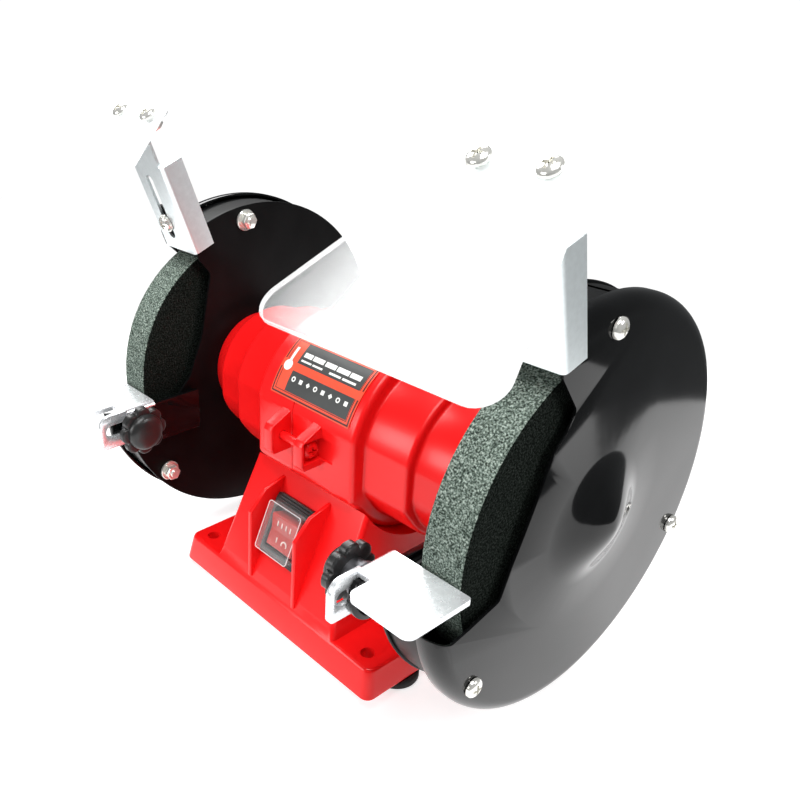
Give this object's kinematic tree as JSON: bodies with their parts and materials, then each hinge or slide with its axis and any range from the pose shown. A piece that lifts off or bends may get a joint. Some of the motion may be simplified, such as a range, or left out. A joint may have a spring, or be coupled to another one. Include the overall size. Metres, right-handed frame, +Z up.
{
  "type": "bench grinder",
  "caption": "Bench grinder with a motor on a pedestal base, guarded abrasive wheels at both shaft ends, sliding tool rests and adjustable clear eye shields.",
  "frame": {"origin": "on the bench surface under the feet, at the centre of the object's bounding box seen from above", "axes": "+X along the motor shaft towards the right-hand wheel seen from the user, -Y towards the user, +Z up"},
  "size_m": [0.3142, 0.2142, 0.2574],
  "materials": {
    "red_body": "smooth glossy moulded finish",
    "black_guard": "gloss black enamel",
    "foot_rubber": "matt moulded rubber",
    "black_plastic": "satin moulded plastic",
    "rocker_red": "translucent glossy red",
    "boot_clear": "clear flexible moulding",
    "shield_clear": "clear polished polycarbonate sheet",
    "abrasive": "coarse porous grey-green grit",
    "copper_wire": "varnished copper wire",
    "machined_steel": "turned steel",
    "cast_aluminium": "plain",
    "label_dark": "printed film, satin",
    "zinc_plate": "bright zinc plate"
  },
  "bodies": {
    "frame": {"base_pedestal": "red_body", "base_plate": "zinc_plate", "foot_front_left": "foot_rubber", "foot_rear_left": "foot_rubber", "foot_front_right": "foot_rubber", "foot_rear_right": "foot_rubber", "cable_gland": "foot_rubber", "capacitor": "cast_aluminium", "switch_frame": "black_plastic", "switch_boot": "boot_clear", "housing_left": "red_body", "housing_right": "red_body", "clamp_screw_front": "red_body", "clamp_screw_rear": "red_body", "rating_label": "label_dark", "stator_core": "machined_steel", "winding_right": "copper_wire", "winding_left": "copper_wire", "bearing_right": "machined_steel", "bearing_left": "machined_steel", "guard_inner_right": "black_guard", "guard_inner_left": "black_guard", "guard_cover_right": "black_guard", "guard_cover_left": "black_guard", "cover_bolt_top_right": "zinc_plate", "cover_bolt_top_left": "zinc_plate", "cover_bolt_front_right": "zinc_plate", "cover_bolt_front_left": "zinc_plate", "cover_bolt_rear_right": "zinc_plate", "cover_bolt_rear_left": "zinc_plate", "rest_arm_right": "black_guard", "rest_arm_left": "black_guard", "clamp_bolt_right": "zinc_plate", "clamp_bolt_left": "zinc_plate", "adjust_screw_right": "zinc_plate", "adjust_screw_left": "zinc_plate"},
    "rotor": {"shaft": "machined_steel", "rotor_core": "cast_aluminium", "grinding_wheel_right": "abrasive", "grinding_wheel_left": "abrasive", "flange_inner_right": "machined_steel", "flange_inner_left": "machined_steel", "flange_outer_right": "machined_steel", "flange_outer_left": "machined_steel", "arbor_nut_right": "zinc_plate", "arbor_nut_left": "zinc_plate"},
    "rocker": {"switch_rocker": "rocker_red"},
    "rest_right": {"rest_plate_right": "zinc_plate"},
    "knob_right": {"rest_knob_right": "black_plastic"},
    "shield_right": {"shield_bracket_right": "zinc_plate", "eye_shield_right": "shield_clear", "shield_screw_outer_right": "zinc_plate", "shield_screw_inner_right": "zinc_plate"},
    "rest_left": {"rest_plate_left": "zinc_plate"},
    "knob_left": {"rest_knob_left": "black_plastic"},
    "shield_left": {"shield_bracket_left": "zinc_plate", "eye_shield_left": "shield_clear", "shield_screw_outer_left": "zinc_plate", "shield_screw_inner_left": "zinc_plate"}
  },
  "joints": [
    {"name": "rotor_spin", "type": "hinge", "parent": "frame", "child": "rotor", "pos_m": [0, 0.01326, 0.105], "axis": [1, 0, 0], "continuous": true},
    {"name": "rocker_tilt", "type": "hinge", "parent": "frame", "child": "rocker", "pos_m": [0, -0.03697, 0.05183], "axis": [-1, 0, 0], "range_deg": [0, 16]},
    {"name": "rest_slide_right", "type": "slide", "parent": "frame", "child": "rest_right", "axis": [0, -1, 0], "range_m": [-0.001, 0.0035]},
    {"name": "knob_turn_right", "type": "hinge", "parent": "frame", "child": "knob_right", "pos_m": [0.0808, -0.07724, 0.094], "axis": [1, 0, 0], "range_deg": [-180, 180]},
    {"name": "shield_slide_right", "type": "slide", "parent": "frame", "child": "shield_right", "axis": [0, -0.314, 0.9494], "range_m": [-0.004, 0.006]},
    {"name": "rest_slide_left", "type": "slide", "parent": "frame", "child": "rest_left", "axis": [0, -1, 0], "range_m": [-0.001, 0.0035]},
    {"name": "knob_turn_left", "type": "hinge", "parent": "frame", "child": "knob_left", "pos_m": [-0.0808, -0.07724, 0.094], "axis": [1, 0, 0], "range_deg": [-180, 180]},
    {"name": "shield_slide_left", "type": "slide", "parent": "frame", "child": "shield_left", "axis": [0, -0.314, 0.9494], "range_m": [-0.004, 0.006]}
  ]
}
